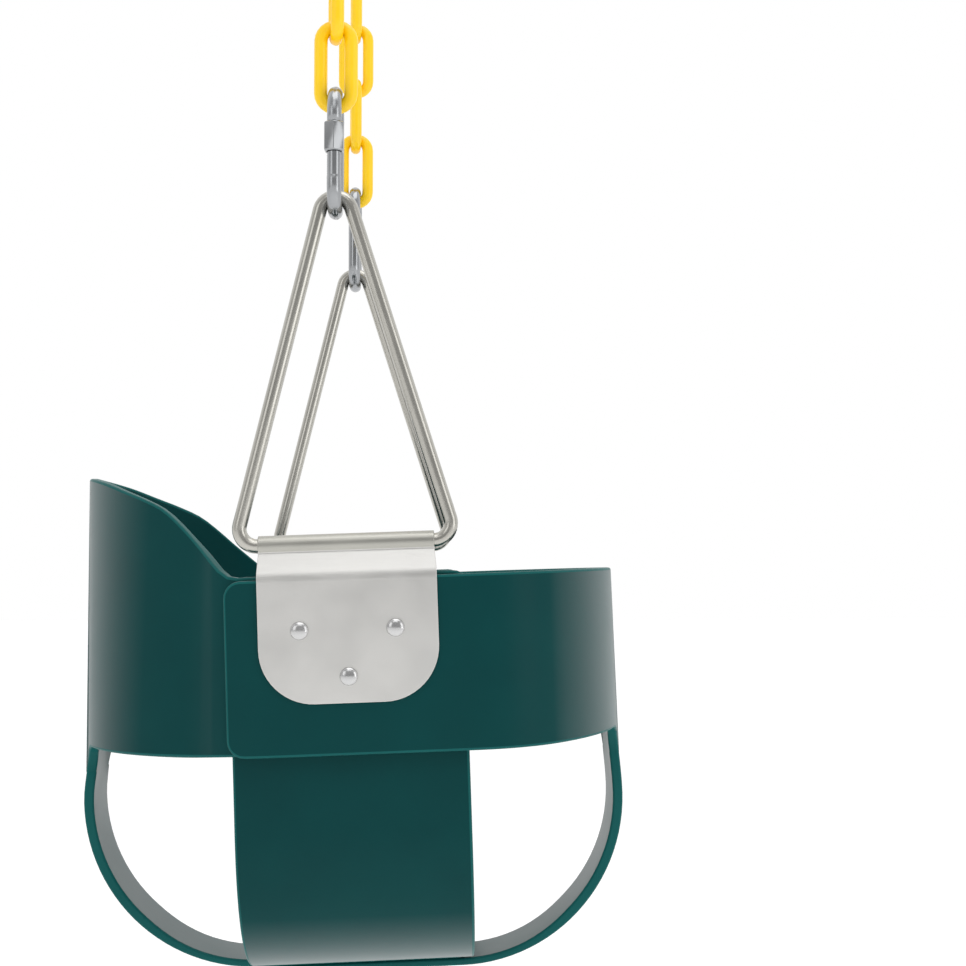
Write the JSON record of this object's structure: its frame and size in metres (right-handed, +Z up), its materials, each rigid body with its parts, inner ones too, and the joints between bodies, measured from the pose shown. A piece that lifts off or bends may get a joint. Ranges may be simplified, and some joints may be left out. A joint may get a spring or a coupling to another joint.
{
  "type": "toddler bucket swing",
  "caption": "Moulded high-back bucket seat with leg openings, hung from wire triangles, quick links and coated chain on both sides.",
  "frame": {"origin": "midway between the two snap hooks, at the height where they bear on what holds the swing", "axes": "+X towards the front of the seat, +Y towards the seated child's left, +Z up"},
  "size_m": [0.3301, 0.27, 0.7736],
  "materials": {
    "eva_green": "satin moulded",
    "stainless_sheet": "brushed",
    "stainless_wire": "satin",
    "rivet_steel": "polished",
    "zinc_plate": "bright zinc plated",
    "chain_coat": "dipped soft plastic",
    "link_steel": "zinc plated"
  },
  "bodies": {
    "hooks": {"right_snap_hook": "zinc_plate", "right_gate_pin": "rivet_steel", "left_snap_hook": "zinc_plate", "left_gate_pin": "rivet_steel"},
    "right_gate": {"right_hook_gate": "zinc_plate"},
    "left_gate": {"left_hook_gate": "zinc_plate"},
    "upper_links": {"right_chain_link_5": "chain_coat", "right_link_core_5": "link_steel", "right_chain_link_4": "chain_coat", "right_link_core_4": "link_steel", "left_chain_link_5": "chain_coat", "left_link_core_5": "link_steel", "left_chain_link_4": "chain_coat", "left_link_core_4": "link_steel"},
    "middle_links": {"right_chain_link_3": "chain_coat", "right_link_core_3": "link_steel", "right_chain_link_2": "chain_coat", "right_link_core_2": "link_steel", "left_chain_link_3": "chain_coat", "left_link_core_3": "link_steel", "left_chain_link_2": "chain_coat", "left_link_core_2": "link_steel"},
    "lowest_links": {"right_chain_link_1": "chain_coat", "right_link_core_1": "link_steel", "left_chain_link_1": "chain_coat", "left_link_core_1": "link_steel"},
    "quick_links": {"right_quick_link": "zinc_plate", "left_quick_link": "zinc_plate"},
    "right_nut": {"right_quick_link_nut": "zinc_plate"},
    "left_nut": {"left_quick_link_nut": "zinc_plate"},
    "left_hanger": {"left_triangle": "stainless_wire"},
    "right_hanger": {"right_triangle": "stainless_wire"},
    "seat": {"front_panel": "eva_green", "back_panel": "eva_green", "side_strap": "eva_green", "bottom_rivets": "rivet_steel", "bottom_rivet_washers": "rivet_steel", "right_hanger_plate": "stainless_sheet", "right_plate_rivets": "rivet_steel", "right_rivet_washers": "rivet_steel", "left_hanger_plate": "stainless_sheet", "left_plate_rivets": "rivet_steel", "left_rivet_washers": "rivet_steel"}
  },
  "joints": [
    {"name": "swing", "type": "hinge", "parent": "hooks", "child": "upper_links", "pos_m": [0, 0, -0.068], "axis": [0, 1, 0], "range_deg": [-45, 45]},
    {"name": "chain_flex_upper", "type": "hinge", "parent": "upper_links", "child": "middle_links", "pos_m": [0, 0, -0.1463], "axis": [0, 1, 0], "range_deg": [-20, 20]},
    {"name": "chain_flex_lower", "type": "hinge", "parent": "middle_links", "child": "lowest_links", "pos_m": [0, 0, -0.2253], "axis": [0, 1, 0], "range_deg": [-20, 20]},
    {"name": "seat_tip", "type": "hinge", "parent": "lowest_links", "child": "quick_links", "pos_m": [0, 0, -0.2572], "axis": [0, 1, 0], "range_deg": [-20, 20]},
    {"name": "left_lean", "type": "hinge", "parent": "quick_links", "child": "left_hanger", "pos_m": [0, 0.115, -0.3149], "axis": [0.9994, 0, 0.0349], "range_deg": [-8, 8]},
    {"name": "right_lean", "type": "hinge", "parent": "quick_links", "child": "right_hanger", "pos_m": [0, -0.115, -0.3149], "axis": [0.9994, 0, 0.0349], "range_deg": [-8, 8]},
    {"name": "seat_level", "type": "hinge", "parent": "left_hanger", "child": "seat", "pos_m": [0.00671, 0.115, -0.50708], "axis": [0.9994, 0, 0.0349], "range_deg": [-8, 8]},
    {"name": "right_nut_travel", "type": "slide", "parent": "quick_links", "child": "right_nut", "axis": [0, 0, -1], "range_m": [0, 0.0135]},
    {"name": "right_gate_swing", "type": "hinge", "parent": "hooks", "child": "right_gate", "pos_m": [0, -0.131, -0.049], "axis": [-1, 0, 0], "range_deg": [0, 30], "stiffness_Nm_per_rad": 0.05},
    {"name": "left_nut_travel", "type": "slide", "parent": "quick_links", "child": "left_nut", "axis": [0, 0, -1], "range_m": [0, 0.0135]},
    {"name": "left_gate_swing", "type": "hinge", "parent": "hooks", "child": "left_gate", "pos_m": [0, 0.131, -0.049], "axis": [1, 0, 0], "range_deg": [0, 30], "stiffness_Nm_per_rad": 0.05}
  ],
  "couplings": [
    {"joint": "right_lean", "follows": "left_lean", "ratio": 1},
    {"joint": "seat_level", "follows": "left_lean", "ratio": -1}
  ]
}
